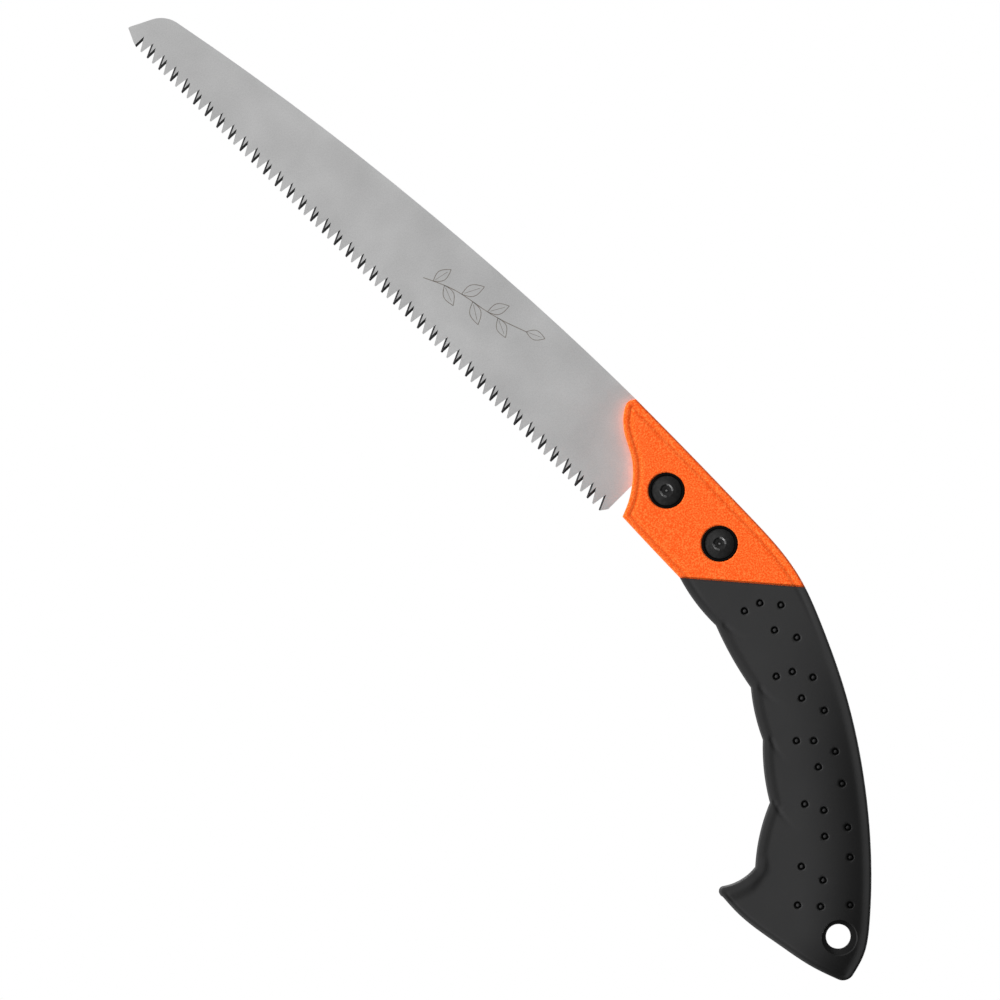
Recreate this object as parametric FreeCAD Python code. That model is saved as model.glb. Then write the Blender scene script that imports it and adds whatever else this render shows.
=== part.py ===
import FreeCAD, Part
import math
import os
from FreeCAD import Vector

# Fixed-blade pruning saw, saw held level in the position of use, millimetres.
# Drawing datum: centre of the front handle bolt.  +X runs from the blade tip
# towards the handle along the tooth line, +Z points to the spine side and Y is
# the thickness direction (bolt heads on -Y, nuts on +Y).  Every part is moved
# at the end so that the centre of the hand grip is the origin.
GRIP_CENTRE = Vector(107.0, 0.0, -27.0)

# ---- main sizes -----------------------------------------------------------
BLADE_T = 1.3
BOLT_PITCH = 30.0
TOOTH_LINE_Z = -24.5
TOOTH_DROP = 1.2
FIRST_TOOTH_X = -275.5
TOOTH_PAIRS = 39
NOSE_RIM_HALF = 6.8
NOSE_PANEL_HALF = 7.2
NOSE_EDGE_R = 1.4
TENON_HALF = 4.5
POCKET_GAP = 0.05
HANG_HOLE = (174.65, -77.45)
HANG_HOLE_R = 5.0
HANG_LINER_R = 7.0
HEAD_R = 6.0
CUP_R = 7.2
CUP_WALL = 0.9
CUP_BASE = 0.8
CUP_SEAT_Y = 4.2
SHANK_R = 3.0
BARREL_R = 4.0
BORE_R = 4.15
HEX_AF = 4.0
HEX_MOUTH_R = 2.6
PIN_R = 0.5
PIT_R = 1.3
PIT_DEPTH = 1.1
PIP_R = 0.5
PIP_BELOW = 0.25
# Rear edge of the bare nose, where the rubber cover starts.
SEAM_LOW = (28.5, -20.8)
SEAM_HIGH = (66.4, 11.8)


def point(p, y=0.0):
    return Vector(p[0], y, p[1])


def path(start, steps):
    """Closed wire in the XZ plane from line, arc and spline steps."""
    edges = []
    here = start
    for kind, pts in steps:
        if kind == "line":
            for p in pts:
                edges.append(Part.makeLine(point(here), point(p)))
                here = p
        elif kind == "arc":
            edges.append(Part.Arc(point(here), point(pts[0]), point(pts[1])).toShape())
            here = pts[1]
        else:
            curve = Part.BSplineCurve()
            curve.interpolate([point(p) for p in [here] + pts])
            edges.append(curve.toShape())
            here = pts[-1]
    return Part.Wire(edges)


def slab(wire, y0, y1):
    face = Part.Face(wire)
    face.translate(Vector(0, y0, 0))
    return face.extrude(Vector(0, y1 - y0, 0))


def drum(centre, radius, y0, y1):
    return Part.makeCylinder(radius, y1 - y0, point(centre, y0), Vector(0, 1, 0))


def mirrored(shape):
    return shape.mirror(Vector(0, 0, 0), Vector(0, 1, 0))


def solid_of(shape):
    """Largest solid of a boolean result, cleaned of splitter faces."""
    body = max(shape.Solids, key=lambda s: s.Volume)
    return body.removeSplitter()


# ---- outlines ---------------------------------------------------------------
def blade_outline():
    heel_x = -11.2
    return path((-283.1, -20.9), [
        ("line", [(-278.6, -11.9)]),
        ("arc", [(-275.7, -8.4), (-271.0, -6.1)]),
        ("spline", [(-240.0, -0.5), (-190.0, 6.8), (-140.0, 12.1), (-90.0, 15.6),
                    (-36.0, 17.25)]),
        ("line", [(-32.0, 17.2)]),
        ("arc", [(-30.7, 14.5), (-27.5, 12.6)]),
        ("line", [(50.0, 12.0)]),
        ("arc", [(56.2, 9.2), (58.0, 3.0)]),
        ("arc", [(55.4, -4.6), (48.0, -7.4)]),
        ("line", [(heel_x, -7.4), (heel_x, -21.7), (-13.2, TOOTH_LINE_Z),
                  (FIRST_TOOTH_X, TOOTH_LINE_Z), (-277.4, -23.9), (-282.9, -21.4),
                  (-283.1, -20.9)]),
    ])


def handle_outline():
    return path((-34.6, 17.25), [
        ("spline", [(0.0, 16.95), (30.0, 16.35), (46.0, 15.7), (60.0, 13.7),
                    (82.0, 5.9), (105.0, -5.0), (137.0, -25.3), (160.0, -44.3),
                    (180.0, -65.1), (187.0, -75.2), (189.75, -84.2)]),
        ("arc", [(189.3, -87.4), (186.9, -89.6)]),
        ("spline", [(176.1, -93.3), (160.0, -96.6), (139.0, -99.3), (130.6, -98.9)]),
        ("arc", [(127.75, -97.6), (128.2, -95.6)]),
        ("arc", [(131.2, -89.0), (131.7, -81.3)]),
        ("arc", [(123.2, -69.9), (117.7, -59.0)]),
        ("arc", [(107.3, -51.9), (97.9, -43.2)]),
        ("arc", [(88.2, -38.0), (79.7, -31.8)]),
        ("arc", [(65.6, -28.6), (52.2, -24.1)]),
        ("arc", [(40.0, -23.4), SEAM_LOW]),
        ("spline", [(12.0, -20.4), (-5.0, -19.8)]),
        ("spline", [(-7.4, -14.2), (-11.6, -7.7), (-19.0, -0.6), (-28.1, 4.45),
                    (-34.2, 10.2), (-35.9, 14.6), (-34.6, 17.25)]),
    ])


def panel_outline():
    """Raised panel of the nose, about 2.8 mm inside its edge."""
    return path((-30.6, 14.35), [
        ("spline", [(0.0, 14.1), (30.0, 13.5), (46.0, 12.8), (58.0, 11.0), (80.0, 3.4)]),
        ("line", [(40.0, -20.0), (28.0, -17.9)]),
        ("spline", [(12.0, -17.6), (-2.9, -17.0)]),
        ("spline", [(-5.0, -12.6), (-9.5, -5.8), (-17.3, 1.5), (-26.8, 6.9),
                    (-31.5, 11.4), (-32.0, 13.4), (-30.6, 14.35)]),
    ])


def tenon_outline():
    """Flat core that fills the hand, about 4.5 mm inside the rubber."""
    return path((20.0, 12.0), [
        ("spline", [(46.0, 11.0), (60.0, 8.4), (80.0, 1.8), (103.0, -9.2),
                    (134.0, -29.2), (157.0, -47.8), (175.0, -67.0), (183.4, -79.0)]),
        ("arc", [(185.2, -84.0), (182.0, -87.0)]),
        ("spline", [(158.0, -92.0), (138.0, -94.2)]),
        ("line", [(136.4, -80.6)]),
        ("spline", [(128.0, -68.0), (122.0, -55.6), (110.0, -46.6), (99.0, -37.4),
                    (82.0, -26.6), (66.0, -23.0), (53.0, -18.6), (20.0, -15.5)]),
        ("line", [(20.0, 12.0)]),
    ])


def nose_window():
    """Region in front of the seam line, used to split nose from grip."""
    run = SEAM_HIGH[0] - SEAM_LOW[0]
    rise = SEAM_HIGH[1] - SEAM_LOW[1]
    low = (SEAM_LOW[0] - run, SEAM_LOW[1] - rise)
    high = (SEAM_HIGH[0] + run, SEAM_HIGH[1] + rise)
    return path(low, [("line", [high, (-80.0, high[1]), (-80.0, low[1]), low])])


# ---- blade ------------------------------------------------------------------
def tooth_x(index):
    """Dark (near-side ground) tooth tips; the pitch grows slightly to the heel."""
    return FIRST_TOOTH_X + 6.5 * index + 0.0058 * index * index


def gullet(tip, pitch, left, right):
    """V-shaped gullet ground obliquely through the plate.

    Each wall is (near foot, far foot, lean): its x at the tooth line on the near
    and far face, in pitches from the tip, and its lean towards the gullet."""
    corners = []
    for y in (-0.9, 0.9):
        share = (y + BLADE_T / 2) / BLADE_T
        a = tip + pitch * (left[0] + (left[1] - left[0]) * share)
        b = tip + pitch * (right[0] + (right[1] - right[0]) * share)
        height = (b - a) / (left[2] + right[2])
        corners.append((
            Vector(a - left[2] * TOOTH_DROP, y, TOOTH_LINE_Z - TOOTH_DROP),
            Vector(a + left[2] * height, y, TOOTH_LINE_Z + height),
            Vector(b + right[2] * TOOTH_DROP, y, TOOTH_LINE_Z - TOOTH_DROP)))
    near, far = corners
    rings = [near, far]
    for i in range(3):
        j = (i + 1) % 3
        rings.append((near[i], near[j], far[j], far[i]))
    faces = [Part.Face(Part.makePolygon(list(r) + [r[0]])) for r in rings]
    wedge = Part.makeSolid(Part.makeShell(faces))
    if wedge.Volume < 0:
        wedge.reverse()
    return wedge


def make_blade():
    plate = slab(blade_outline(), -BLADE_T / 2, BLADE_T / 2)
    cutters = []
    for index in range(TOOTH_PAIRS):
        tip = tooth_x(index)
        pitch = tooth_x(index + 1) - tip
        cutters.append(gullet(tip, pitch, (-0.125, 0.023, 0.03), (0.378, 0.447, 0.59)))
        cutters.append(gullet(tip, pitch, (0.472, 0.408, 0.15), (1.025, 0.912, 0.45)))
    for x in (0.0, BOLT_PITCH):
        cutters.append(drum((x, 0.0), BORE_R, -2, 2))
    return solid_of(plate.cut(Part.makeCompound(cutters)))


# ---- handle core --------------------------------------------------------------
def nose_edges(rim):
    """Outer edges of the nose on both faces, without the seam edges."""
    chosen = []
    for edge in rim.Edges:
        middle = edge.CenterOfMass
        if abs(abs(middle.y) - NOSE_RIM_HALF) > 1e-4:
            continue
        run = SEAM_HIGH[0] - SEAM_LOW[0]
        rise = SEAM_HIGH[1] - SEAM_LOW[1]
        offset = (middle.x - SEAM_LOW[0]) * rise - (middle.z - SEAM_LOW[1]) * run
        if abs(offset) > 1.0:
            chosen.append(edge)
    return chosen


def make_core():
    """Moulded nose with the flat tenon that fills the rubber grip."""
    window = slab(nose_window(), -20, 20)
    rim = slab(handle_outline(), -NOSE_RIM_HALF, NOSE_RIM_HALF).common(window)
    rim = solid_of(rim)
    rim = rim.makeFillet(NOSE_EDGE_R, nose_edges(rim))
    panel = slab(panel_outline(), -NOSE_PANEL_HALF, NOSE_PANEL_HALF).common(window)
    tenon = slab(tenon_outline(), -TENON_HALF, TENON_HALF)
    core = solid_of(rim.fuse([solid_of(panel), tenon]))
    cutters = [drum(HANG_HOLE, HANG_LINER_R, -9, 9)]
    for x in (0.0, BOLT_PITCH):
        cutters.append(drum((x, 0.0), BORE_R, -9, 9))
        cutters.append(drum((x, 0.0), CUP_R + 0.05, -9, -CUP_SEAT_Y))
        cutters.append(drum((x, 0.0), CUP_R + 0.05, CUP_SEAT_Y, 9))
    tang_half = BLADE_T / 2 + POCKET_GAP
    cutters.append(slab(blade_outline(), -tang_half, tang_half))
    return core.cut(Part.makeCompound(cutters))


PEGS = ((84.0, -13.0), (118.0, -41.0), (152.0, -80.0))


def make_core_halves():
    core = make_core()
    box = Part.makeBox(320, 30, 160)
    left_space = box.translated(Vector(-90, -30, -120))
    right_space = box.translated(Vector(-90, 0, -120))
    left = solid_of(core.common(left_space))
    right = solid_of(core.common(right_space))
    pegs = [drum(p, 2.0, -1.0, 2.6) for p in PEGS]
    sockets = [drum(p, 2.05, -1.0, 2.8) for p in PEGS]
    left = solid_of(left.fuse(pegs))
    right = solid_of(right.cut(Part.makeCompound(sockets)))
    return left, right


# ---- rubber grip ----------------------------------------------------------------
# Stations along the hand: finger-side point, spine-side point, half thickness.
STATIONS = (
    ((28.0, -21.6), (66.9, 12.6), 8.0),
    ((39.0, -24.6), (75.2, 10.2), 9.3),
    ((51.6, -26.2), (84.0, 6.4), 10.8),
    ((64.6, -30.4), (93.0, 2.2), 11.9),
    ((78.8, -34.0), (103.0, -2.7), 12.5),
    ((87.0, -39.8), (112.0, -7.8), 12.7),
    ((96.4, -45.8), (122.0, -13.6), 12.6),
    ((105.6, -53.0), (133.0, -20.9), 12.2),
    ((115.6, -61.4), (147.2, -31.6), 11.6),
    ((121.6, -71.6), (161.0, -43.4), 11.0),
    ((128.6, -82.6), (175.0, -57.6), 10.5),
    ((128.6, -90.6), (185.2, -69.2), 10.2),
    ((126.4, -96.4), (190.4, -79.0), 9.6),
    ((127.2, -99.4), (191.6, -86.0), 7.4),
    ((129.0, -101.0), (190.4, -92.0), 4.6),
)
# Blind pits stand in five rows along the hand.  Each row is drawn by its first,
# third and fifth place; the last place of the outer row is taken by the hanging
# hole, so its pit sits lower down.
PIT_ROWS = (
    ((56.2, -11.9), (107.5, -33.9), (144.4, -68.0)),
    ((58.3, -5.3), (112.4, -29.0), (154.4, -65.8)),
    ((64.8, 0.1), (121.5, -26.0), (169.1, -65.2)),
    ((70.1, -8.8), (121.1, -35.1), (161.2, -73.9)),
    ((78.5, -4.6), (132.5, -33.2), (176.0, -73.0)),
)
LOW_PIT = (154.3, -80.0)


def grip_section(low, high, half_thick):
    """Closed super-ellipse from the finger edge to the spine edge, thinned
    towards the spine where the palm rests."""
    a = point(low)
    b = point(high)
    centre = (a + b) * 0.5
    along = (b - a) * 0.5
    across = Vector(0, half_thick, 0)
    power = 2.0 / 3.0
    pts = []
    count = 20
    for i in range(count):
        t = 2 * math.pi * (i + 0.5) / count
        c = math.cos(t)
        s = math.sin(t)
        u = math.copysign(abs(c) ** power, c)
        v = math.copysign(abs(s) ** power, s)
        palm = max(0.0, (u + 0.1) / 1.1)
        pts.append(centre + along * u + across * v * (1 - 0.32 * palm * palm))
    curve = Part.BSplineCurve()
    curve.interpolate(pts, PeriodicFlag=True)
    return Part.Wire(curve.toShape())


def pit_centres():
    centres = []
    for first, third, fifth in PIT_ROWS:
        for i in range(5):
            t = i / 4
            weights = ((1 - t) * (1 - 2 * t), 4 * t * (1 - t), t * (2 * t - 1))
            x = sum(w * p[0] for w, p in zip(weights, (first, third, fifth)))
            z = sum(w * p[1] for w, p in zip(weights, (first, third, fifth)))
            centres.append((x, z))
    centres[-1] = LOW_PIT
    return centres


def surface_y(body, x, z):
    """Half thickness of the grip at one place."""
    probe = Part.makeLine(Vector(x, 0, z), Vector(x, 30, z))
    inside = body.common(probe)
    return inside.BoundBox.YMax


def make_grip():
    """Rubber cover, made as the +Y half and mirrored."""
    sections = [grip_section(*station) for station in STATIONS]
    swell = Part.makeLoft(sections, True, False)
    window = slab(nose_window(), -40, 40)
    grip = slab(handle_outline(), 0, 14).cut(window).common(swell)
    grip = solid_of(grip)
    hole_y = surface_y(grip, HANG_HOLE[0], HANG_HOLE[1])
    dish = Part.makeCone(HANG_HOLE_R - 0.5, HANG_HOLE_R + 4.0, 9.0,
                         point(HANG_HOLE, hole_y - 3.2), Vector(0, 1, 0))
    cutters = []
    for centre in pit_centres():
        y = surface_y(grip, centre[0], centre[1])
        pip = drum(centre, PIP_R, y - PIT_DEPTH - 1, y - PIP_BELOW)
        cutters.append(drum(centre, PIT_R, y - PIT_DEPTH, y + 3).cut(pip))
    grip = grip.cut(drum(HANG_HOLE, HANG_HOLE_R, -20, 20))
    grip = grip.cut(dish)
    grip = grip.cut(Part.makeCompound(cutters))
    tenon = slab(tenon_outline(), -TENON_HALF, TENON_HALF)
    tenon = tenon.cut(drum(HANG_HOLE, HANG_LINER_R, -9, 9))
    half = solid_of(grip.cut(tenon))
    return solid_of(half.fuse(mirrored(half))), hole_y


# ---- fasteners --------------------------------------------------------------------
def hexagon(across_flats, y0, y1):
    r = across_flats / math.sqrt(3)
    pts = [(r * math.cos(math.radians(60 * i)), r * math.sin(math.radians(60 * i)))
           for i in range(7)]
    face = Part.Face(Part.makePolygon([point(p, y0) for p in pts]))
    return face.extrude(Vector(0, y1 - y0, 0))


def domed_head(seat_y):
    """Low dome facing -Y with a chamfered internal hexagon round a centre pin."""
    rim_y = seat_y - 1.7
    top_y = seat_y - 2.9
    rise = rim_y - top_y
    ball_r = (HEAD_R ** 2 + rise ** 2) / (2 * rise)
    ball = Part.makeSphere(ball_r, Vector(0, top_y + ball_r, 0))
    head = drum((0, 0), HEAD_R, seat_y - 4, seat_y).common(ball)
    lip_y = top_y + 0.25
    mouth = Part.makeCone(HEX_MOUTH_R + 0.6, HEX_MOUTH_R - 0.6, 1.2,
                          Vector(0, lip_y - 0.6, 0), Vector(0, 1, 0))
    head = head.cut(mouth)
    head = head.cut(hexagon(HEX_AF, seat_y - 4, top_y + 1.7))
    head = head.cut(drum((0, 0), 1.1, seat_y - 4, top_y + 2.3))
    pin = Part.makeCone(PIN_R, PIN_R - 0.15, 1.6, Vector(0, top_y + 2.3, 0), Vector(0, -1, 0))
    return head.fuse(pin)


def make_bolt():
    seat = -(CUP_SEAT_Y + CUP_BASE)
    shank = drum((0, 0), SHANK_R, seat - 0.2, 3.6)
    tip = Part.makeCone(SHANK_R, SHANK_R - 0.6, 0.6, Vector(0, 3.6, 0), Vector(0, 1, 0))
    return solid_of(domed_head(seat).fuse([shank, tip]))


def make_nut():
    seat = CUP_SEAT_Y + CUP_BASE
    head = mirrored(domed_head(-seat))
    barrel = drum((0, 0), BARREL_R, -2.8, seat + 0.2)
    bore = drum((0, 0), SHANK_R + 0.05, -4, seat - 0.4)
    return solid_of(head.fuse(barrel).cut(bore))


def make_cup(hole_r):
    """Pressed cup washer, open side on -Y."""
    outer = drum((0, 0), CUP_R, -NOSE_PANEL_HALF - 0.1, -CUP_SEAT_Y)
    edge = [e for e in outer.Edges if abs(e.CenterOfMass.y + NOSE_PANEL_HALF + 0.1) < 1e-6]
    outer = outer.makeFillet(0.4, edge)
    well = drum((0, 0), CUP_R - CUP_WALL, -12, -(CUP_SEAT_Y + CUP_BASE))
    return solid_of(outer.cut(well).cut(drum((0, 0), hole_r, -12, 0)))


def build():
    blade = make_blade()
    left, right = make_core_halves()
    grip, hole_y = make_grip()
    print("grip half thickness at hang hole", round(hole_y, 3))
    parts = {
        "saw_blade": blade,
        "core_left": left,
        "core_right": right,
        "grip_cover": grip,
    }
    for name, x in (("front", 0.0), ("rear", BOLT_PITCH)):
        here = Vector(x, 0, 0)
        parts["bolt_" + name] = make_bolt().translated(here)
        parts["nut_" + name] = make_nut().translated(here)
        parts["cup_" + name + "_left"] = make_cup(SHANK_R + 0.1).translated(here)
        parts["cup_" + name + "_right"] = mirrored(make_cup(BARREL_R + 0.1)).translated(here)
    return {name: shape.translated(GRIP_CENTRE * -1) for name, shape in parts.items()}


os.makedirs("parts", exist_ok=True)
for part_name, part_shape in build().items():
    box = part_shape.BoundBox
    print(part_name, part_shape.isValid(), len(part_shape.Solids), round(part_shape.Volume, 1),
          [round(v, 2) for v in (box.XMin, box.YMin, box.ZMin, box.XMax, box.YMax, box.ZMax)])
    part_shape.exportStep("parts/" + part_name + ".step")
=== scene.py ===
import math

import bmesh
import bpy
import numpy as np
from mathutils import Matrix, Vector
from mathutils.geometry import delaunay_2d_cdt


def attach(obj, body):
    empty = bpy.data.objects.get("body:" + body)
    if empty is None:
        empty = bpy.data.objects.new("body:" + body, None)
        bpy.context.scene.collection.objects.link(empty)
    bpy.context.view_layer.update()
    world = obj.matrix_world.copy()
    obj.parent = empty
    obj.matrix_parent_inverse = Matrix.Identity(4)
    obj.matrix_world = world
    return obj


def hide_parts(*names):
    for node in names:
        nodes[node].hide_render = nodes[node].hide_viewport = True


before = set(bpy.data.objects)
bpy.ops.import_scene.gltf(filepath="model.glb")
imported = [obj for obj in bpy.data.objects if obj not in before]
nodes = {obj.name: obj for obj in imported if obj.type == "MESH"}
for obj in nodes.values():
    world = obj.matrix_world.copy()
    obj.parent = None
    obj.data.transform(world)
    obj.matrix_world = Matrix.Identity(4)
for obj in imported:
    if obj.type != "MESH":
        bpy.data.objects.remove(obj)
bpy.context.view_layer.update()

# Shapes are drawn in millimetres from the front bolt, as the CAD model is, and
# then moved so that the centre of the hand grip is the origin.
MM = 0.001
GRIP_CENTRE = (107.0, -27.0)
BOLTS = ((0.0, 0.0), (30.0, 0.0))
HANG_HOLE = (174.65, -77.45)
HANG_HOLE_R = 5.0
RECESS_R = 7.25
RECESS_FLOOR = 4.2
RECESS_SIDES = 64
BORE_R = 4.15
SOCKET_MOUTH_R = 2.35
BLADE_HALF = 0.65
POCKET_HALF = 0.70
SEAM_LOW = np.array((28.5, -20.8))
SEAM_HIGH = np.array((66.4, 11.8))
SEAM_DIR = (SEAM_HIGH - SEAM_LOW) / np.linalg.norm(SEAM_HIGH - SEAM_LOW)
SEAM_NORMAL = np.array((SEAM_DIR[1], -SEAM_DIR[0]))


# ---- plane curves --------------------------------------------------------------
def line(a, b, step=0.5):
    a, b = np.array(a), np.array(b)
    n = max(1, int(round(np.linalg.norm(b - a) / step)))
    return [a + (b - a) * i / n for i in range(n + 1)]


def arc(a, m, b, step=0.5):
    """Circular arc from a through m to b."""
    (ax, ay), (bx, by), (cx, cy) = a, m, b
    d = 2 * (ax * (by - cy) + bx * (cy - ay) + cx * (ay - by))
    sa, sb, sc = ax * ax + ay * ay, bx * bx + by * by, cx * cx + cy * cy
    ux = (sa * (by - cy) + sb * (cy - ay) + sc * (ay - by)) / d
    uy = (sa * (cx - bx) + sb * (ax - cx) + sc * (bx - ax)) / d
    r = math.hypot(ax - ux, ay - uy)
    t0 = math.atan2(ay - uy, ax - ux)
    t1 = math.atan2(cy - uy, cx - ux)
    tm = math.atan2(by - uy, bx - ux)
    turn = 2 * math.pi
    sweep = (t1 - t0) % turn
    if (tm - t0) % turn > sweep:
        sweep -= turn
    n = max(3, int(round(abs(sweep) * r / step)))
    return [np.array((ux + r * math.cos(t0 + sweep * i / n), uy + r * math.sin(t0 + sweep * i / n)))
            for i in range(n + 1)]


def spline(points, step=0.5):
    """Natural cubic through the points, by chord length."""
    p = np.array(points, float)
    t = np.concatenate(([0.0], np.cumsum(np.linalg.norm(np.diff(p, axis=0), axis=1))))
    h = np.diff(t)
    n = len(p)
    a = np.eye(n)
    rhs = np.zeros((n, 2))
    for i in range(1, n - 1):
        a[i, i - 1], a[i, i], a[i, i + 1] = h[i - 1], 2 * (h[i - 1] + h[i]), h[i]
        rhs[i] = 6 * ((p[i + 1] - p[i]) / h[i] - (p[i] - p[i - 1]) / h[i - 1])
    m = np.linalg.solve(a, rhs)
    out = []
    for s in np.linspace(0, t[-1], max(3, int(round(t[-1] / step))) + 1):
        i = min(n - 2, int(np.searchsorted(t, s, side="right")) - 1)
        u, v = s - t[i], t[i + 1] - s
        q = (m[i] * v ** 3 + m[i + 1] * u ** 3) / (6 * h[i])
        q = q + (p[i] / h[i] - m[i] * h[i] / 6) * v + (p[i + 1] / h[i] - m[i + 1] * h[i] / 6) * u
        out.append(q)
    return out


def chain(*runs):
    """Joins runs that each start where the last one ends."""
    points = [runs[0][0]]
    for run in runs:
        points.extend(run[1:])
    return np.array(points)


TOP_EDGE = chain(
    spline([(-34.6, 17.25), (0.0, 16.95), (30.0, 16.35), (46.0, 15.7), (60.0, 13.7),
            (82.0, 5.9), (105.0, -5.0), (137.0, -25.3), (160.0, -44.3), (180.0, -65.1),
            (187.0, -75.2), (189.74, -84.2)]))
BUTT_EDGE = chain(
    arc((189.74, -84.2), (189.3, -87.4), (186.9, -89.6)),
    spline([(186.9, -89.6), (176.1, -93.3), (160.0, -96.6), (139.0, -99.3), (130.6, -98.9)]),
    arc((130.6, -98.9), (127.75, -97.6), (128.2, -95.6)))
HOOK_EDGE = chain(arc((128.2, -95.6), (131.2, -89.0), (131.7, -81.3)))
FINGER_EDGE = chain(
    arc((131.7, -81.3), (123.2, -69.9), (117.7, -59.0)),
    arc((117.7, -59.0), (107.3, -51.9), (97.9, -43.2)),
    arc((97.9, -43.2), (88.2, -38.0), (79.7, -31.8)),
    arc((79.7, -31.8), (65.6, -28.6), (52.2, -24.1)),
    arc((52.2, -24.1), (40.0, -23.4), tuple(SEAM_LOW)))
NOSE_EDGE = chain(
    spline([SEAM_LOW, (12.0, -20.4), (-5.0, -19.8)]),
    spline([(-5.0, -19.8), (-7.4, -14.2), (-11.6, -7.7), (-19.0, -0.6), (-28.1, 4.45),
            (-34.2, 10.2), (-35.9, 14.6), (-34.6, 17.25)], 0.4))
OUTLINE = chain(TOP_EDGE, BUTT_EDGE, HOOK_EDGE, FINGER_EDGE, NOSE_EDGE)[:-1]
# Short creases that run inward from the crests between the fingers.
CREASES = (
    ((54.5, -21.4), (59.0, -21.2), (64.5, -18.0)),
    ((82.0, -29.2), (87.0, -29.6), (94.0, -27.8)),
    ((99.5, -40.6), (104.0, -42.2), (111.5, -42.6)),
    ((118.5, -57.6), (124.0, -59.1), (134.0, -59.0)),
)
# Blind pits stand in five rows along the hand.  Each row is drawn by its first,
# third and fifth place; the last place of the outer row is taken by the hanging
# hole, so its pit sits lower down.
PIT_ROWS = (
    ((56.2, -11.9), (107.5, -33.9), (144.4, -68.0)),
    ((58.3, -5.3), (112.4, -29.0), (154.4, -65.8)),
    ((64.8, 0.1), (121.5, -26.0), (169.1, -65.2)),
    ((70.1, -8.8), (121.1, -35.1), (161.2, -73.9)),
    ((78.5, -4.6), (132.5, -33.2), (176.0, -73.0)),
)
LOW_PIT = (154.3, -80.0)


def pit_centres():
    centres = []
    for row in PIT_ROWS:
        first, third, fifth = (np.array(p) for p in row)
        for i in range(5):
            t = i / 4
            centres.append(first * (1 - t) * (1 - 2 * t) + third * 4 * t * (1 - t)
                           + fifth * t * (2 * t - 1))
    centres[-1] = np.array(LOW_PIT)
    return np.array(centres)


PITS = pit_centres()


def distance(points, path, closed=False):
    """Distance of each point from a polyline."""
    a = np.asarray(path)
    b = np.roll(a, -1, axis=0)
    if not closed:
        a, b = a[:-1], b[:-1]
    best = np.full(len(points), 1e9)
    for start, end in zip(a, b):
        run = end - start
        t = np.clip(((points - start) @ run) / (run @ run), 0.0, 1.0)
        gap = points - start - t[:, None] * run
        best = np.minimum(best, np.hypot(gap[:, 0], gap[:, 1]))
    return best


def inside(points, polygon):
    """Even-odd test against a closed polyline."""
    a = np.asarray(polygon)
    b = np.roll(a, -1, axis=0)
    odd = np.zeros(len(points), bool)
    x, z = points[:, 0], points[:, 1]
    for (x0, z0), (x1, z1) in zip(a, b):
        if z0 == z1:
            continue
        cross = ((z0 > z) != (z1 > z)) & (x < (x1 - x0) * (z - z0) / (z1 - z0) + x0)
        odd ^= cross
    return odd


def smooth(low, high, value):
    t = np.clip((value - low) / (high - low), 0.0, 1.0)
    return t * t * (3 - 2 * t)


def ramp(value, width, power):
    return 1 - (1 - np.clip(value / width, 0.0, 1.0)) ** power


def radial(points, centre):
    return np.hypot(points[:, 0] - centre[0], points[:, 1] - centre[1])


# ---- the handle's surface --------------------------------------------------------
# Heights above the mid plane, depths and widths, in millimetres.
NOSE_HALF = 7.2         # over the orange panel
PALM_SWELL = 4.8        # what the grip's crown adds to that
BUTT_TAPER = 1.3        # what it loses again towards the butt
NOSE_FALL = 0.35        # drop from the crown to the spine, at the nose,
PALM_FALL = 5.65        # what the palm adds to it
BUTT_FALL = 1.1         # and what the butt adds
FALL_WIDTH = 25.0
FALL_POWER = 2.5
SPINE_RIM = 3.5
SPINE_RIM_SOFT = 0.7
FINGER_STEP = 0.42      # raised rim along the fingers
HOOK_STEP = 0.63        # what the hook adds to it
STEP_START = 2.5
STEP_SLOPE = 1.9
LINE_INSET = 2.9        # shallow line inside the edge
NOSE_LINE = 0.28
FINGER_LINE = 0.10
BUTT_LINE = 0.24
LINE_HALF = 0.8
CREASE_DEPTH = 0.4
CREASE_HALF = 0.8
SEAM_DEPTH = 1.0
SEAM_HALF = 0.42
DISH_R = 7.0
DISH_CENTRE = (HANG_HOLE[0] + 0.7, HANG_HOLE[1])
DISH_DEPTH = 1.7
DISH_LEAST = 0.4
DISH_SLOPE = 0.18       # the dish grows shallower towards the butt
DISH_WALL = 0.25
PIT_MID_R = 1.08        # each pit is a ring with a dot left in its middle
PIT_DEPTH = 1.9
PIT_HALF = 0.33
RELIEF_DEPTH = 0.25     # eased edge round each bolt's recess
RELIEF_WIDTH = 0.4
NOSE_ROLL = 0.8         # rounded edge; twice as high on the grip


def crown_height(along, top):
    """The side without its rims: full along the hand, thinner along the spine."""
    crown = NOSE_HALF + PALM_SWELL * smooth(-6.0, 62.0, along)
    crown -= BUTT_TAPER * smooth(95.0, 155.0, along)
    fall = NOSE_FALL + PALM_FALL * smooth(-5.0, 85.0, along)
    fall += BUTT_FALL * smooth(105.0, 150.0, along)
    inward = top - SPINE_RIM
    inward = 0.5 * (inward + np.sqrt(inward ** 2 + SPINE_RIM_SOFT ** 2))
    return crown - fall * (1 - ramp(inward, FALL_WIDTH, FALL_POWER))


def line_depth(edge, grip, at_butt, at_fingers):
    """Shallow line that runs inside the edge of the nose, the fingers and the butt."""
    depth = NOSE_LINE * (1 - grip) + BUTT_LINE * at_butt + FINGER_LINE * at_fingers
    inset = LINE_INSET - at_butt
    half_width = LINE_HALF - 0.18 * grip - 0.25 * at_butt
    return depth * np.exp(-((edge - inset) / half_width) ** 2)


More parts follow.
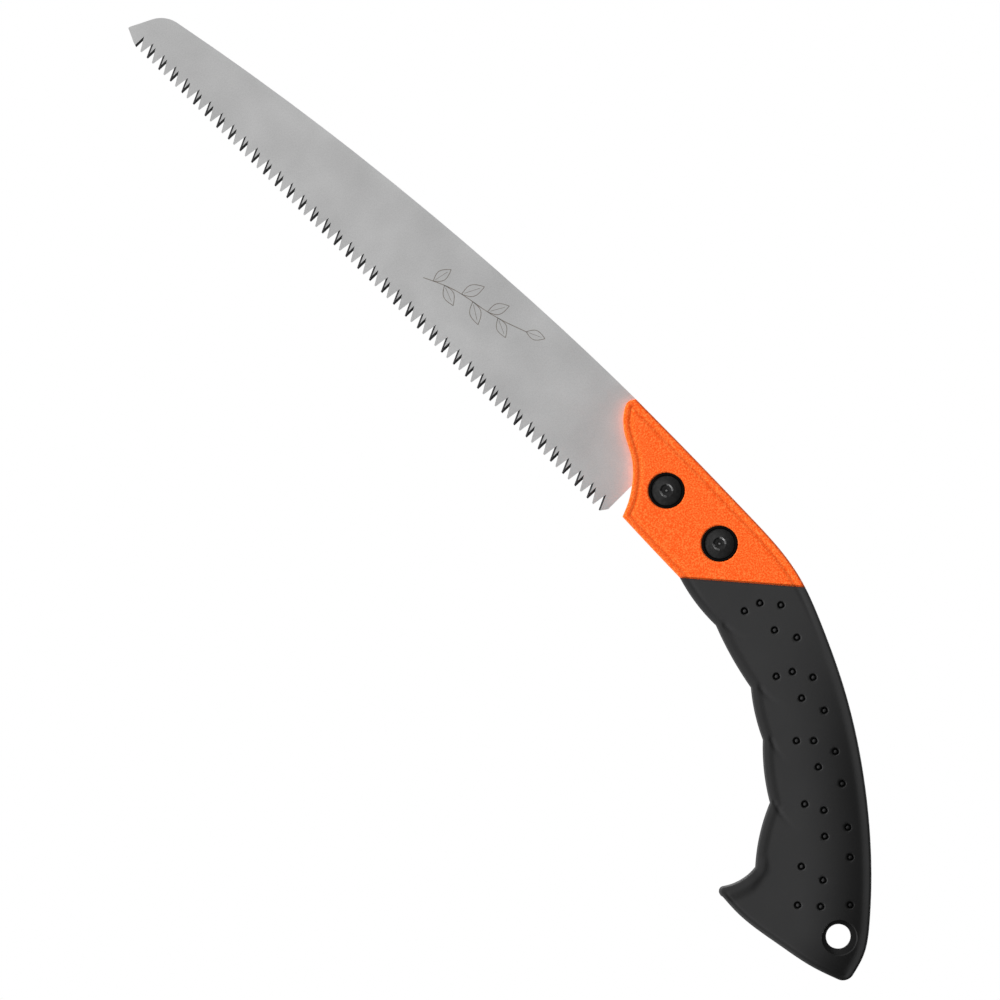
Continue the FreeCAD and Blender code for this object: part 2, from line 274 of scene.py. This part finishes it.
def crease_depth(points):
    """Creases that fade out as they run inward."""
    depth = np.zeros(len(points))
    for crease in CREASES:
        path = np.array(spline(crease, 0.6))
        run = path[-1] - path[0]
        t = ((points - path[0]) @ run) / (run @ run)
        gap = distance(points, path)
        depth += CREASE_DEPTH * smooth(1.05, 0.1, t) * np.exp(-(gap / CREASE_HALF) ** 2)
    return depth


def hollow_depth(points):
    """Dish round the hanging hole, pits in the side, eased edges of the recesses."""
    sink = np.maximum(DISH_DEPTH - DISH_SLOPE * (points[:, 0] - HANG_HOLE[0]), DISH_LEAST)
    depth = sink * smooth(DISH_R + DISH_WALL, DISH_R - DISH_WALL, radial(points, DISH_CENTRE))
    for pit in PITS:
        r = radial(points, pit)
        depth += PIT_DEPTH * np.exp(-((r - PIT_MID_R) / PIT_HALF) ** 2)
    for bolt in BOLTS:
        r = radial(points, bolt)
        depth += RELIEF_DEPTH * smooth(RECESS_R + RELIEF_WIDTH, RECESS_R, r)
    return depth


def half_thickness(points):
    """Height of the handle's side above the mid plane.

    The nose is nearly flat, with a shallow line inside its edge.  The grip swells
    to a flat crown that a raised rim borders along the fingers and the hook; on
    the palm side it falls away to a thinner flat rim along the spine."""
    along = (points - SEAM_LOW) @ SEAM_NORMAL
    grip = smooth(-4.0, 30.0, along)
    edge = distance(points, OUTLINE, True)
    top = distance(points, TOP_EDGE)
    butt = distance(points, BUTT_EDGE)
    hook = distance(points, HOOK_EDGE)
    finger = distance(points, FINGER_EDGE)
    low = np.minimum(hook, finger)
    hooked = smooth(4.0, -4.0, hook - finger)
    at_butt = grip * smooth(1.5, -1.5, butt - np.minimum(top, low))
    at_fingers = grip * smooth(1.5, -1.5, low - np.minimum(top, butt)) * (1 - hooked)

    height = crown_height(along, top)
    step = grip * (FINGER_STEP + HOOK_STEP * hooked)
    start = STEP_START + 0.2 * hooked
    height += step * (1 - smooth(start, start + STEP_SLOPE + 2.5 * hooked, low))
    height -= line_depth(edge, grip, at_butt, at_fingers)
    height -= crease_depth(points)
    height -= SEAM_DEPTH * np.exp(-(along / SEAM_HALF) ** 2)
    height -= hollow_depth(points)

    low_side = smooth(1.0, -1.0, low - np.minimum(top, butt))
    roll_width = NOSE_ROLL + grip * (0.2 - 0.3 * low_side)
    roll_height = NOSE_ROLL * (1 + grip)
    rolled = 1 - np.clip(edge / roll_width, 0.0, 1.0)
    return height - roll_height * (1 - np.sqrt(1 - rolled ** 2))


# ---- meshing -----------------------------------------------------------------------
def ring(centre, r, count):
    t = np.arange(count) * 2 * math.pi / count
    return np.stack((centre[0] + r * np.cos(t), centre[1] + r * np.sin(t)), axis=1)


def clip_outline(keep_positive):
    """Part of the handle outline on one side of the seam, closed by the seam."""
    side = (OUTLINE - SEAM_LOW) @ SEAM_NORMAL
    if not keep_positive:
        side = -side
    n = len(OUTLINE)
    polygon = []
    for i in range(n):
        j = (i + 1) % n
        if side[i] >= -1e-9:
            polygon.append(OUTLINE[i])
        crosses = (side[i] > 1e-6 and side[j] < -1e-6) or (side[i] < -1e-6 and side[j] > 1e-6)
        if crosses:
            t = side[i] / (side[i] - side[j])
            polygon.append(OUTLINE[i] + (OUTLINE[j] - OUTLINE[i]) * t)
    closed = []
    for i, p in enumerate(polygon):
        q = polygon[(i + 1) % len(polygon)]
        closed.append(p)
        if np.linalg.norm(q - p) > 2.0:
            closed.extend(line(p, q, 0.6)[1:-1])
    return np.array(closed)


def inset_points(polygon, depths):
    """Rows of points at set distances inside an outline."""
    nxt = np.roll(polygon, -1, axis=0)
    prv = np.roll(polygon, 1, axis=0)
    tangent = nxt - prv
    tangent /= np.linalg.norm(tangent, axis=1)[:, None]
    normal = np.stack((tangent[:, 1], -tangent[:, 0]), axis=1)
    probe = inside(polygon + normal * 0.05, polygon)
    if probe.mean() < 0.5:
        normal = -normal
    rows = []
    for depth in depths:
        row = polygon + normal * depth
        far = distance(row, polygon, True) > depth - 0.04
        rows.append(row[far & inside(row, polygon)])
    return np.concatenate(rows)


def hex_grid(polygon, pitch):
    """Points on a triangular grid inside an outline."""
    low, high = polygon.min(axis=0), polygon.max(axis=0)
    rows = []
    z = low[1]
    odd = False
    while z < high[1]:
        x = np.arange(low[0] + (pitch / 2 if odd else 0.0), high[0], pitch)
        rows.append(np.stack((x, np.full(len(x), z)), axis=1))
        z += pitch * math.sqrt(3) / 2
        odd = not odd
    grid = np.concatenate(rows)
    return grid[inside(grid, polygon)]


def flat_mesh(polygon, holes, rings, pitch, depths):
    """Triangulates a region with fine rows along its edge and round its features.

    holes are (centre, radius, count); rings are (centre, radii, count, clear)."""
    parts = [polygon]
    edges = [(i, (i + 1) % len(polygon)) for i in range(len(polygon))]
    total = len(polygon)
    for centre, r, count in holes:
        parts.append(ring(centre, r, count))
        edges += [(total + i, total + (i + 1) % count) for i in range(count)]
        total += count
    free = [inset_points(polygon, depths)]
    grid = hex_grid(polygon, pitch)
    free.append(grid[distance(grid, polygon, True) > depths[-1] + pitch * 0.6])
    loose = np.concatenate(free)
    for centre, _, _, clear in rings:
        loose = loose[radial(loose, centre) > clear]
    for centre, r, _ in holes:
        loose = loose[radial(loose, centre) > r + 0.1]
    parts.append(loose)
    for centre, radii, count, _ in rings:
        for r in radii:
            if r == 0:
                parts.append(np.array([centre], float))
                continue
            circle = ring(centre, r, count)
            good = inside(circle, polygon) & (distance(circle, polygon, True) > 0.12)
            parts.append(circle[good])
    points = np.concatenate(parts)
    out = delaunay_2d_cdt([Vector(p) for p in points], edges, [], 0, 1e-4)
    verts = np.array([tuple(v) for v in out[0]])
    faces = np.array([f for f in out[2] if len(f) == 3])
    centre = verts[faces].mean(axis=1)
    keep = inside(centre, polygon)
    for hole_centre, r, count in holes:
        keep &= radial(centre, hole_centre) > r * math.cos(math.pi / count) - 1e-3
    return verts, faces[keep]


def place(points, height):
    """Plane points and heights to metres in the frame's axes."""
    return np.stack(((points[:, 0] - GRIP_CENTRE[0]) * MM, height * MM,
                     (points[:, 1] - GRIP_CENTRE[1]) * MM), axis=1)


def new_object(name, bm, sharp=40.0):
    bmesh.ops.recalc_face_normals(bm, faces=bm.faces)
    mesh = bpy.data.meshes.new(name)
    bm.to_mesh(mesh)
    bm.free()
    mesh.polygons.foreach_set("use_smooth", [True] * len(mesh.polygons))
    mesh.set_sharp_from_angle(angle=math.radians(sharp))
    obj = bpy.data.objects.new(name, mesh)
    bpy.context.scene.collection.objects.link(obj)
    return obj


def boundary_loops(bm):
    """Ordered rings of vertices round the open edges."""
    todo = {e for e in bm.edges if len(e.link_faces) == 1}
    loops = []
    while todo:
        edge = todo.pop()
        start, here = edge.verts
        loop = [start, here]
        while here is not start:
            following = next(e for e in here.link_edges if e in todo)
            todo.remove(following)
            here = following.other_vert(here)
            loop.append(here)
        loops.append(loop[:-1])
    return loops


def bridge(bm, loop_a, loop_b):
    """Closed strip of quads between two rings of as many vertices."""
    n = len(loop_a)
    for i in range(n):
        j = (i + 1) % n
        bm.faces.new((loop_a[i], loop_a[j], loop_b[j], loop_b[i]))


PIT_RINGS = (0.0, 0.25, 0.45, 0.6, 0.74, 0.86, 0.98, 1.1, 1.22, 1.36, 1.54, 1.8)
DISH_RINGS = (6.2, 6.6, 6.75, 6.88, 7.0, 7.12, 7.25, 7.45)
RECESS_RINGS = (7.35, 7.5, 7.7, 8.1)
GRIP_ROWS = (0.08, 0.25, 0.5, 0.85, 1.3, 1.65, 2.0, 2.4, 2.8, 3.3, 3.8, 4.3, 4.9, 5.6)
NOSE_ROWS = (0.12, 0.35, 0.7, 1.15, 1.6, 2.1, 2.5, 2.9, 3.3, 3.8, 4.4, 5.0)
GRIP_PITCH = 0.9
NOSE_PITCH = 1.0


def skin_vertices(bm, verts, faces, height):
    """One side of the handle as a triangulated sheet."""
    skin = [bm.verts.new(p) for p in place(verts, height)]
    for a, b, c in faces:
        bm.faces.new((skin[a], skin[b], skin[c]))
    return skin


def drop_loose(bm):
    loose = [v for v in bm.verts if not v.link_faces]
    bmesh.ops.delete(bm, geom=loose, context="VERTS")


def build_grip():
    """Rubber grip: two skins joined round the outline and through the hanging hole."""
    polygon = clip_outline(True)
    rings = [(tuple(p), PIT_RINGS, 20, 2.0) for p in PITS]
    rings.append((DISH_CENTRE, DISH_RINGS, 96, 7.8))
    holes = [(HANG_HOLE, HANG_HOLE_R, 72)]
    verts, faces = flat_mesh(polygon, holes, rings, GRIP_PITCH, GRIP_ROWS)
    height = half_thickness(verts)
    bm = bmesh.new()
    near = skin_vertices(bm, verts, faces, -height)
    loops = boundary_loops(bm)
    far = skin_vertices(bm, verts, faces[:, ::-1], height)
    index = {v: i for i, v in enumerate(near)}
    for loop in loops:
        rows = [loop]
        for t in (0.33, 0.67):
            rows.append([bm.verts.new(v.co * (1 - t) + far[index[v]].co * t) for v in loop])
        rows.append([far[index[v]] for v in loop])
        for row_a, row_b in zip(rows, rows[1:]):
            bridge(bm, row_a, row_b)
    drop_loose(bm)
    return new_object("grip_rubber", bm)


def tang_outline():
    """Outline of the pocket for the tang, open towards the blade."""
    return chain(
        line((-60.0, 17.25), (-32.0, 17.2)),
        arc((-32.0, 17.2), (-30.7, 14.5), (-27.5, 12.6)),
        line((-27.5, 12.6), (50.0, 12.0), 5.0),
        arc((50.0, 12.0), (56.2, 9.2), (58.0, 3.0), 2.0),
        arc((58.0, 3.0), (55.4, -4.6), (48.0, -7.4), 2.0),
        line((48.0, -7.4), (-11.2, -7.4), 5.0),
        line((-11.2, -7.4), (-60.0, -7.4), 5.0))


def recess_rows(bm, loop, side):
    """Rings down a bolt's recess and through its bore to the mid plane."""
    middle = sum((v.co for v in loop), Vector()) / len(loop)
    rows = [loop]
    for r, y in ((RECESS_R, RECESS_FLOOR), (BORE_R, RECESS_FLOOR), (BORE_R, 0.0)):
        row = []
        for v in loop:
            out = Vector((v.co.x - middle.x, v.co.z - middle.z)).normalized() * r * MM
            row.append(bm.verts.new((middle.x + out.x, side * y * MM, middle.z + out.y)))
        rows.append(row)
    return rows


def close_back(bm, rings):
    """Flat face on the mid plane between the bores and the outer ring, the last one."""
    flat = [v for ring_verts in rings for v in ring_verts]
    edges = []
    base = 0
    for ring_verts in rings:
        n = len(ring_verts)
        edges += [(base + i, base + (i + 1) % n) for i in range(n)]
        base += n
    coords = [Vector((v.co.x / MM, v.co.z / MM)) for v in flat]
    out = delaunay_2d_cdt(coords, edges, [], 0, 1e-5)
    outer = np.array([(v.co.x / MM, v.co.z / MM) for v in rings[-1]])
    for face in out[2]:
        ids = [out[3][i][0] for i in face]
        mid = np.array([[sum(coords[i].x for i in ids) / 3, sum(coords[i].y for i in ids) / 3]])
        bores = [radial(mid, (b[0] - GRIP_CENTRE[0], b[1] - GRIP_CENTRE[1]))[0] for b in BOLTS]
        if inside(mid, outer)[0] and min(bores) > BORE_R * 0.99:
            bm.faces.new([flat[i] for i in ids])


def build_nose(side):
    """One moulded half; side is -1 for the left half, with the bolt heads."""
    polygon = clip_outline(False)
    rings = [(bolt, RECESS_RINGS, RECESS_SIDES, 8.4) for bolt in BOLTS]
    holes = [(bolt, RECESS_R, RECESS_SIDES) for bolt in BOLTS]
    verts, faces = flat_mesh(polygon, holes, rings, NOSE_PITCH, NOSE_ROWS)
    bm = bmesh.new()
    skin_vertices(bm, verts, faces, side * half_thickness(verts))
    drop_loose(bm)
    back = []
    for loop in sorted(boundary_loops(bm), key=len):
        if len(loop) == RECESS_SIDES:
            rows = recess_rows(bm, loop, side)
        else:
            rows = [loop, [bm.verts.new((v.co.x, 0.0, v.co.z)) for v in loop]]
        for row_a, row_b in zip(rows, rows[1:]):
            bridge(bm, row_a, row_b)
        back.append(rows[-1])
    close_back(bm, back)
    obj = new_object("nose_left" if side < 0 else "nose_right", bm)
    cut_pocket(obj, tang_outline())
    return obj


def cut_pocket(obj, outline):
    """Removes the slot that holds the blade's tang."""
    bm = bmesh.new()
    low = [bm.verts.new(p) for p in place(outline, np.full(len(outline), -POCKET_HALF))]
    high = [bm.verts.new(p) for p in place(outline, np.full(len(outline), POCKET_HALF))]
    bm.faces.new(low)
    bm.faces.new(list(reversed(high)))
    bridge(bm, low, high)
    cutter = new_object("pocket_cutter", bm)
    mod = obj.modifiers.new("pocket", "BOOLEAN")
    mod.operation = "DIFFERENCE"
    mod.solver = "EXACT"
    mod.object = cutter
    graph = bpy.context.evaluated_depsgraph_get()
    result = bpy.data.meshes.new_from_object(obj.evaluated_get(graph))
    obj.modifiers.clear()
    obj.data = result
    result.set_sharp_from_angle(angle=math.radians(40))
    bpy.data.objects.remove(cutter)


# ---- materials -----------------------------------------------------------------------
def material(name):
    """A new material with its node tree, shader and object coordinates."""
    mat = bpy.data.materials.new(name)
    mat.use_nodes = True
    tree = mat.node_tree
    shader = tree.nodes["Principled BSDF"]
    coords = tree.nodes.new("ShaderNodeTexCoord")
    return mat, tree, shader, coords.outputs["Object"]


def noise(tree, vector, scale, detail=2.0, rough=0.5):
    node = tree.nodes.new("ShaderNodeTexNoise")
    node.inputs["Scale"].default_value = scale
    node.inputs["Detail"].default_value = detail
    node.inputs["Roughness"].default_value = rough
    tree.links.new(vector, node.inputs["Vector"])
    return node.outputs["Fac"]


def voronoi(tree, vector, scale, feature="F1"):
    node = tree.nodes.new("ShaderNodeTexVoronoi")
    node.feature = feature
    node.inputs["Scale"].default_value = scale
    tree.links.new(vector, node.inputs["Vector"])
    return node.outputs["Distance"]


def stretch(tree, value, low, high, out_low, out_high):
    node = tree.nodes.new("ShaderNodeMapRange")
    node.inputs["From Min"].default_value = low
    node.inputs["From Max"].default_value = high
    node.inputs["To Min"].default_value = out_low
    node.inputs["To Max"].default_value = out_high
    tree.links.new(value, node.inputs["Value"])
    return node.outputs["Result"]


def tint(tree, factor, low, high):
    """Blend of two ends, each a colour or another node's output."""
    node = tree.nodes.new("ShaderNodeMix")
    node.data_type = "RGBA"
    for socket, end in ((node.inputs[6], low), (node.inputs[7], high)):
        if isinstance(end, bpy.types.NodeSocket):
            tree.links.new(end, socket)
        else:
            socket.default_value = (*end, 1.0)
    tree.links.new(factor, node.inputs[0])
    return node.outputs[2]


def grey(value):
    return (value, value, value)


def maths(tree, operation, *values):
    """Math node on numbers or other nodes' outputs."""
    node = tree.nodes.new("ShaderNodeMath")
    node.operation = operation
    for socket, value in zip(node.inputs, values):
        if isinstance(value, bpy.types.NodeSocket):
            tree.links.new(value, socket)
        else:
            socket.default_value = value
    return node.outputs[0]


def bump(tree, shader, height, depth_mm, strength=1.0, under=None):
    node = tree.nodes.new("ShaderNodeBump")
    node.inputs["Strength"].default_value = strength
    node.inputs["Distance"].default_value = depth_mm * MM
    tree.links.new(height, node.inputs["Height"])
    if under is not None:
        tree.links.new(under, node.inputs["Normal"])
    tree.links.new(node.outputs["Normal"], shader.inputs["Normal"])
    return node.outputs["Normal"]


def steel_material():
    """Satin faces; the teeth's grinding bevels and the plate's edges, every surface turned away
    from the plate's faces, are painted dark as shade.
    """
    mat, tree, shader, here = material("satin_steel")
    shader.inputs["Metallic"].default_value = 0.78
    grain = noise(tree, here, 2600.0, 3.0, 0.6)
    broad = noise(tree, here, 45.0, 2.0)
    clouds = stretch(tree, broad, 0.3, 0.7, 0.0, 0.25)
    mottle = maths(tree, "MULTIPLY_ADD", grain, 0.75, clouds)
    faces = tint(tree, mottle, grey(0.50), grey(0.89))
    # Painted shade: dark tint for every surface whose normal turns away from the plate's faces.
    edge_shade = tint(tree, grain, grey(0.03), (0.17, 0.17, 0.175))
    split = tree.nodes.new("ShaderNodeSeparateXYZ")
    tree.links.new(here.node.outputs["Normal"], split.inputs[0])
    facing = maths(tree, "ABSOLUTE", split.outputs[1])
    on_face = stretch(tree, facing, 0.88, 0.95, 0.0, 1.0)
    tree.links.new(tint(tree, on_face, edge_shade, faces), shader.inputs["Base Color"])
    tree.links.new(stretch(tree, grain, 0.3, 0.7, 0.40, 0.52), shader.inputs["Roughness"])
    bump(tree, shader, grain, 0.012, 0.5)
    return mat


def orange_material():
    """Moulded plastic with a fine pebbled, speckled surface."""
    mat, tree, shader, here = material("nose_orange")
    shader.inputs["Specular IOR Level"].default_value = 0.25
    pebble = voronoi(tree, here, 1300.0, "SMOOTH_F1")
    fine = noise(tree, here, 1700.0, 3.0, 0.6)
    speckle = stretch(tree, fine, 0.43, 0.66, 0.0, 1.0)
    paint = tint(tree, speckle, (0.87, 0.082, 0.004), (1.0, 0.225, 0.046))
    tree.links.new(paint, shader.inputs["Base Color"])
    tree.links.new(stretch(tree, fine, 0.3, 0.7, 0.50, 0.66), shader.inputs["Roughness"])
    first = bump(tree, shader, pebble, 0.05, 0.6)
    bump(tree, shader, fine, 0.07, 0.8, first)
    return mat


def rubber_material():
    """Matt black rubber."""
    mat, tree, shader, here = material("grip_rubber")
    shader.inputs["Specular IOR Level"].default_value = 0.2
    fine = noise(tree, here, 1500.0, 3.0, 0.6)
    broad = noise(tree, here, 60.0, 3.0)
    clouds = stretch(tree, broad, 0.3, 0.7, 0.1, 0.4)
    mottle = maths(tree, "MULTIPLY_ADD", fine, 0.5, clouds)
    paint = tint(tree, mottle, (0.0268, 0.0268, 0.0272), (0.0342, 0.0342, 0.0346))
    tree.links.new(paint, shader.inputs["Base Color"])
    tree.links.new(stretch(tree, fine, 0.3, 0.7, 0.58, 0.72), shader.inputs["Roughness"])
    bump(tree, shader, fine, 0.02, 0.5)
    return mat


def black_metal(name, shade, rough, shine):
    """Blackened steel with fine scratches; also returns what a further mask of wear and painted
    highlights needs.
    """
    mat, tree, shader, here = material(name)
    shader.inputs["Specular IOR Level"].default_value = shine
    scratch = noise(tree, here, 900.0, 4.0, 0.7)
    worn = stretch(tree, scratch, 0.45, 0.75, 0.0, 1.0)
    paint = tint(tree, worn, grey(shade), grey(shade * 2.0))
    tree.links.new(paint, shader.inputs["Base Color"])
    roughness = stretch(tree, scratch, 0.3, 0.7, rough - 0.06, rough + 0.08)
    tree.links.new(roughness, shader.inputs["Roughness"])
    bump(tree, shader, scratch, 0.01, 0.5)
    return mat, tree, shader, here, paint


def bolt_material():
    """Black oxide, rubbed through to the metal at the socket's mouth and on the pin. Kept above and
    below the socket and to the pin, these brighter spots are partly wear and partly painted
    highlights.
    """
    mat, tree, shader, here, paint = black_metal("black_oxide", 0.011, 0.38, 0.42)
    split = tree.nodes.new("ShaderNodeSeparateXYZ")
    tree.links.new(here, split.inputs[0])
    middle = (0.5 * (BOLTS[0][0] + BOLTS[1][0]) - GRIP_CENTRE[0]) * MM
    half_pitch = 0.5 * (BOLTS[1][0] - BOLTS[0][0]) * MM
    level = (BOLTS[0][1] - GRIP_CENTRE[1]) * MM
    x = maths(tree, "ABSOLUTE", maths(tree, "SUBTRACT", split.outputs[0], middle))
    x = maths(tree, "SUBTRACT", x, half_pitch)
    z = maths(tree, "SUBTRACT", split.outputs[2], level)
    square = maths(tree, "ADD", maths(tree, "MULTIPLY", x, x), maths(tree, "MULTIPLY", z, z))
    r = maths(tree, "SQRT", square)
    off = maths(tree, "ABSOLUTE", maths(tree, "SUBTRACT", r, SOCKET_MOUTH_R * MM))
    mouth = stretch(tree, off, 0.28 * MM, 0.42 * MM, 1.0, 0.0)
    # Brighter metal on the pin: partly wear, partly a painted highlight.
    pin = stretch(tree, r, 0.3 * MM, 0.5 * MM, 0.6, 0.0)
    # Brighter metal only above and below the socket, where the highlights fall: painted highlights.
    lean = maths(tree, "SUBTRACT", maths(tree, "ABSOLUTE", z), maths(tree, "ABSOLUTE", x))
    highlight_arcs = stretch(tree, lean, -0.2 * MM, 0.6 * MM, 0.0, 1.0)
    bare_and_highlight = maths(tree, "MAXIMUM", maths(tree, "MULTIPLY", mouth, highlight_arcs), pin)
    tree.links.new(tint(tree, bare_and_highlight, paint, grey(0.34)), shader.inputs["Base Color"])
    tree.links.new(bare_and_highlight, shader.inputs["Metallic"])
    return mat


def ink_material():
    """Brownish etched lines, a little broken."""
    mat, tree, shader, here = material("etched_line")
    broken = noise(tree, here, 1400.0, 3.0, 0.6)
    fade = stretch(tree, broken, 0.35, 0.65, 0.0, 1.0)
    paint = tint(tree, fade, (0.13, 0.105, 0.085), (0.30, 0.27, 0.24))
    tree.links.new(paint, shader.inputs["Base Color"])
    shader.inputs["Metallic"].default_value = 0.4
    tree.links.new(stretch(tree, broken, 0.3, 0.7, 0.5, 0.7), shader.inputs["Roughness"])
    return mat


def floor_material():
    mat, tree, shader, here = material("pale_floor")
    cloud = noise(tree, here, 3.0, 2.0)
    tree.links.new(tint(tree, cloud, grey(0.86), grey(0.88)), shader.inputs["Base Color"])
    shader.inputs["Roughness"].default_value = 0.8
    return mat


def dress(obj, mat):
    obj.data.materials.clear()
    obj.data.materials.append(mat)


# ---- etched sprig on the blade -------------------------------------------------------
SPRIG_SKIN = 0.02       # thickness of the lines, and their gap from the blade
SPRIG_GAP = 0.03
SPRIG_STEM = ((-129.0, -8.5), (-116.0, -3.0), (-101.0, 0.0), (-84.0, 5.5))
# Place along the stem, turn from it in degrees, and length.
SPRIG_LEAVES = (
    (0.10, 52, 8.5), (0.20, -44, 8.8), (0.36, 50, 9.6), (0.47, -42, 9.4),
    (0.63, 48, 9.0), (0.73, -40, 8.4), (0.99, 4, 8.0),
)
STEM_WIDTH = 0.30
LEAF_WIDTH = 0.26
VEIN_WIDTH = 0.16


def ribbon(bm, points, width, y):
    """Flat strip of even width along a polyline, with a little thickness."""
    p = np.array(points)
    t = np.gradient(p, axis=0)
    t /= np.linalg.norm(t, axis=1)[:, None]
    n = np.stack((-t[:, 1], t[:, 0]), axis=1) * width / 2
    top = y + SPRIG_SKIN
    rows = []
    for offset, level in ((n, y), (-n, y), (-n, top), (n, top)):
        rows.append([bm.verts.new(q) for q in place(p + offset, np.full(len(p), level))])
    for a, b in zip(rows, rows[1:] + rows[:1]):
        for i in range(len(p) - 1):
            bm.faces.new((a[i], a[i + 1], b[i + 1], b[i]))
    bm.faces.new([row[0] for row in rows])
    bm.faces.new([row[-1] for row in reversed(rows)])


def build_sprig():
    """A stem with seven leaves, each drawn by two curves and a vein."""
    bm = bmesh.new()
    y = -BLADE_HALF - SPRIG_GAP
    stem = spline(SPRIG_STEM, 0.6)
    ribbon(bm, stem, STEM_WIDTH, y)
    for t, turn, size in SPRIG_LEAVES:
        i = int(t * (len(stem) - 1))
        base = stem[i]
        ahead = stem[min(i + 1, len(stem) - 1)] - stem[max(i - 1, 0)]
        angle = math.atan2(ahead[1], ahead[0]) + math.radians(turn)
        d = np.array((math.cos(angle), math.sin(angle)))
        s = np.array((-d[1], d[0]))
        tip = base + d * size
        for bulge in (1, -1):
            mid = base + d * size * 0.45 + s * bulge * size * 0.24
            ribbon(bm, spline([base, mid, tip], 0.5), LEAF_WIDTH, y)
        ribbon(bm, line(base + d * size * 0.12, base + d * size * 0.8, 0.8), VEIN_WIDTH, y)
    return new_object("blade_sprig", bm)


# ---- make and dress ---------------------------------------------------------------------
SOFT_EDGE = 0.12
steel = steel_material()
orange = orange_material()
rubber = rubber_material()
bolt_black = bolt_material()
cup_black = black_metal("black_cup", 0.002, 0.50, 0.1)[0]

grip = build_grip()
dress(grip, rubber)
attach(grip, "root")
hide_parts("grip_cover")

for side, node in ((-1, "core_left"), (1, "core_right")):
    half = build_nose(side)
    dress(half, orange)
    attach(half, "root")
    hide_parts(node)

sprig = build_sprig()
dress(sprig, ink_material())
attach(sprig, "root")

dress(nodes["saw_blade"], steel)
for name, obj in nodes.items():
    if name.startswith(("bolt_", "nut_")):
        dress(obj, bolt_black)
    elif name.startswith("cup_"):
        dress(obj, cup_black)
    else:
        continue
    soften = obj.modifiers.new("soft_edges", "BEVEL")
    soften.width = SOFT_EDGE * MM
    soften.segments = 2
    soften.limit_method = "ANGLE"
    soften.angle_limit = math.radians(35)

# ---- stage, light and camera ---------------------------------------------------------------
# Lengths from here on are in metres.
FLOOR_R = 1.5
FLOOR_LEVEL = Vector((0.0, 0.0, -1.0))
AMBIENT = 0.10
SAW_CENTRE = Vector((-0.1514, 0.0, -0.0227))
KEY_POWER = 5.75
KEY_SPREAD = 25         # degrees
KEY_WAY = Vector((0.801, 0.462, 0.381))
VIEW_DISTANCE = 10.0
VIEW_WIDTH = 0.400
WHITE = (1, 1, 1, 1)

floor_bm = bmesh.new()
bmesh.ops.create_circle(floor_bm, cap_ends=True, segments=128, radius=FLOOR_R,
                        matrix=Matrix.Translation(FLOOR_LEVEL))
floor = new_object("floor", floor_bm)
dress(floor, floor_material())

scene = bpy.context.scene
scene.view_settings.view_transform = "Standard"
scene.view_settings.look = "None"
world = bpy.data.worlds.new("studio")
world.use_nodes = True
scene.world = world
wt = world.node_tree
background = wt.nodes["Background"]
ambient = wt.nodes.new("ShaderNodeBackground")
ambient.inputs["Color"].default_value = WHITE
ambient.inputs["Strength"].default_value = AMBIENT
background.inputs["Color"].default_value = WHITE
background.inputs["Strength"].default_value = 1.0
ray = wt.nodes.new("ShaderNodeLightPath")
choose = wt.nodes.new("ShaderNodeMixShader")
wt.links.new(ray.outputs["Is Camera Ray"], choose.inputs[0])
wt.links.new(ambient.outputs[0], choose.inputs[1])
wt.links.new(background.outputs[0], choose.inputs[2])
wt.links.new(choose.outputs[0], wt.nodes["World Output"].inputs["Surface"])


def softbox(name, offset, size, power):
    """Rectangular lamp at an offset from the saw's centre, aimed at it."""
    lamp = bpy.data.lights.new(name, "AREA")
    lamp.shape = "RECTANGLE"
    lamp.size, lamp.size_y = size
    lamp.energy = power
    obj = bpy.data.objects.new(name, lamp)
    scene.collection.objects.link(obj)
    obj.location = SAW_CENTRE + Vector(offset)
    obj.rotation_euler = (-Vector(offset)).to_track_quat("-Z", "Y").to_euler()
    obj.visible_camera = False


# The key is a broad far light low on the blade's side, the same all along the saw.
# It only shades: the softboxes give the gloss, so the blade never mirrors the key.
key = bpy.data.lights.new("key", "SUN")
key.energy = KEY_POWER
key.angle = math.radians(KEY_SPREAD)
key_obj = bpy.data.objects.new("key", key)
scene.collection.objects.link(key_obj)
key_obj.visible_glossy = False
key_obj.rotation_euler = KEY_WAY.to_track_quat("-Z", "Y").to_euler()

softbox("front_fill", (-0.42, -1.9, 0.12), (1.3, 1.3), 4.65)
softbox("strip_top", (0.15, -0.15, 1.4), (1.0, 0.15), 2.2)
softbox("strip_low", (0.15, -0.15, -0.85), (1.0, 0.15), 2.4)
softbox("back_left", (-0.9, 1.1, 0.6), (1.0, 1.0), 20.0)
softbox("back_right", (0.6, 1.3, 0.5), (1.0, 1.0), 14.0)
softbox("overhead", (0.2, 0.9, 1.5), (1.2, 1.2), 10.0)

cam = bpy.data.cameras.new("camera")
cam.sensor_width = 36.0
cam.lens = cam.sensor_width * VIEW_DISTANCE / VIEW_WIDTH
cam.clip_end = 50.0
camera = bpy.data.objects.new("camera", cam)
scene.collection.objects.link(camera)
# The saw hangs from the upper left to the lower right, turned by an eighth of a circle.
eighth = math.sqrt(0.5)
right = Vector((eighth, 0, eighth))
up = Vector((-eighth, 0, eighth))
backward = Vector((0, -1, 0))
turn = Matrix((right, up, backward)).transposed().to_4x4()
camera.matrix_world = Matrix.Translation(SAW_CENTRE + Vector((0, -VIEW_DISTANCE, 0))) @ turn
scene.camera = camera
